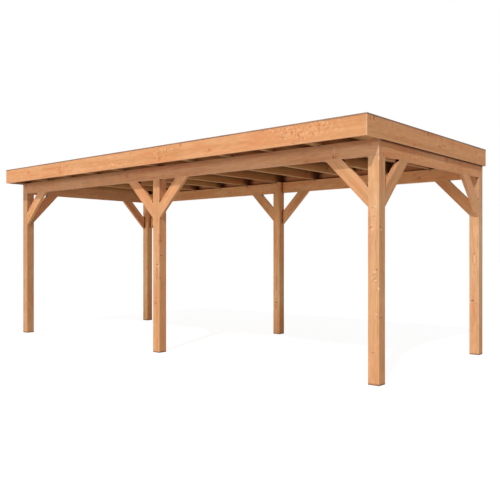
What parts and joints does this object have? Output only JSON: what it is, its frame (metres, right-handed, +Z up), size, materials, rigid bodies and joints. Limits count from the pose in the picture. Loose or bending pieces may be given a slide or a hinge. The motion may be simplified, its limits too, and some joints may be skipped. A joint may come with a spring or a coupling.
{
  "type": "garden veranda",
  "caption": "Free-standing timber garden veranda: an open post and beam frame with knee braces and a flat roof with a deep fascia and a front overhang.",
  "frame": {"origin": "on the ground, under the middle of the roof's outline", "axes": "+X along the long side, +Y from front to back, +Z up"},
  "size_m": [6.132, 2.801, 2.454],
  "materials": {
    "frame_timber": "planed, oiled softwood",
    "rafter_timber": "planed softwood",
    "deck_timber": "planed softwood boards",
    "fascia_timber": "planed, oiled softwood",
    "roof_rubber": "matt sheet rubber",
    "edge_trim": "satin, weathered"
  },
  "bodies": {
    "root": {"back_beam": "frame_timber", "brace_back_left_to_right": "frame_timber", "brace_back_middle_to_left": "frame_timber", "brace_back_middle_to_right": "frame_timber", "brace_back_right_to_left": "frame_timber", "brace_front_left_to_right": "frame_timber", "brace_front_middle_to_left": "frame_timber", "brace_front_middle_to_right": "frame_timber", "brace_front_right_to_left": "frame_timber", "brace_left_back": "frame_timber", "brace_left_front": "frame_timber", "brace_right_back": "frame_timber", "brace_right_front": "frame_timber", "fascia_back": "fascia_timber", "fascia_front": "fascia_timber", "fascia_left": "fascia_timber", "fascia_right": "fascia_timber", "front_beam": "frame_timber", "left_beam": "frame_timber", "post_back_left": "frame_timber", "post_back_middle": "frame_timber", "post_back_right": "frame_timber", "post_front_left": "frame_timber", "post_front_middle": "frame_timber", "post_front_right": "frame_timber", "rafter_01": "rafter_timber", "rafter_02": "rafter_timber", "rafter_03": "rafter_timber", "rafter_04": "rafter_timber", "rafter_05": "rafter_timber", "rafter_06": "rafter_timber", "rafter_07": "rafter_timber", "rafter_08": "rafter_timber", "rafter_09": "rafter_timber", "rafter_10": "rafter_timber", "rafter_11": "rafter_timber", "right_beam": "frame_timber", "roof_deck": "deck_timber", "roof_membrane": "roof_rubber", "roof_trim_back": "edge_trim", "roof_trim_front": "edge_trim", "roof_trim_left": "edge_trim", "roof_trim_right": "edge_trim"}
  },
  "joints": []
}
